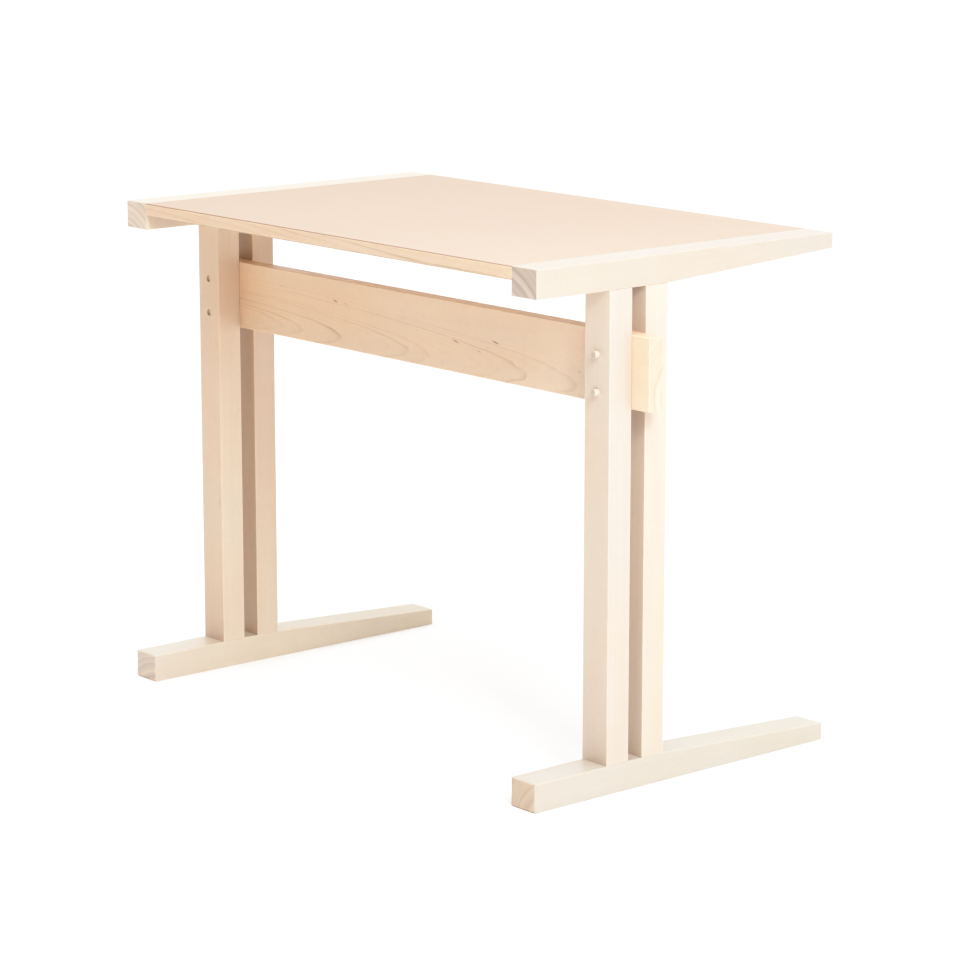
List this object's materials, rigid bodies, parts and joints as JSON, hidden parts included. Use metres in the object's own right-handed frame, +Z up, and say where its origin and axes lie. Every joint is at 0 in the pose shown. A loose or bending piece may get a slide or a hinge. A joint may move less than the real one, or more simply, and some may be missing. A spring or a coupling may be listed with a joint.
{
  "type": "sewing desk",
  "caption": "Shaker-style knock-down sewing desk: veneered top between battens on slotted trestles, tied by a pinned beam.",
  "frame": {"origin": "on the floor, under the middle of the desk's length and depth", "axes": "+X along the beam and the top's length, +Y from the pinned side towards the sitter's side, +Z up"},
  "size_m": [0.998, 0.552, 0.737],
  "materials": {
    "maple_frame": "clear matt oil",
    "maple_beam": "clear matt oil",
    "maple_lipping": "clear matt oil",
    "maple_veneer": "clear matt varnish",
    "maple_pin": "clear matt oil",
    "core_board": "bare plywood, hidden"
  },
  "bodies": {
    "desk_frame": {"foot_left": "maple_frame", "foot_right": "maple_frame", "front_upright_left": "maple_frame", "rear_upright_left": "maple_frame", "front_upright_right": "maple_frame", "rear_upright_right": "maple_frame", "batten_left": "maple_frame", "batten_right": "maple_frame", "beam": "maple_beam", "top_core": "core_board", "top_face_veneer": "maple_veneer", "top_backing_veneer": "maple_veneer", "front_lipping": "maple_lipping", "rear_lipping": "maple_lipping", "spline_left": "core_board", "spline_right": "core_board"},
    "pin_upper_left_body": {"pin_upper_left": "maple_pin"},
    "pin_lower_left_body": {"pin_lower_left": "maple_pin"},
    "pin_upper_right_body": {"pin_upper_right": "maple_pin"},
    "pin_lower_right_body": {"pin_lower_right": "maple_pin"}
  },
  "joints": [
    {"name": "pin_upper_left_slide", "type": "slide", "parent": "desk_frame", "child": "pin_upper_left_body", "axis": [0, -1, 0], "range_m": [0, 0.107]},
    {"name": "pin_lower_left_slide", "type": "slide", "parent": "desk_frame", "child": "pin_lower_left_body", "axis": [0, -1, 0], "range_m": [0, 0.107]},
    {"name": "pin_upper_right_slide", "type": "slide", "parent": "desk_frame", "child": "pin_upper_right_body", "axis": [0, -1, 0], "range_m": [-0.01, 0.097]},
    {"name": "pin_lower_right_slide", "type": "slide", "parent": "desk_frame", "child": "pin_lower_right_body", "axis": [0, -1, 0], "range_m": [-0.01, 0.097]}
  ]
}
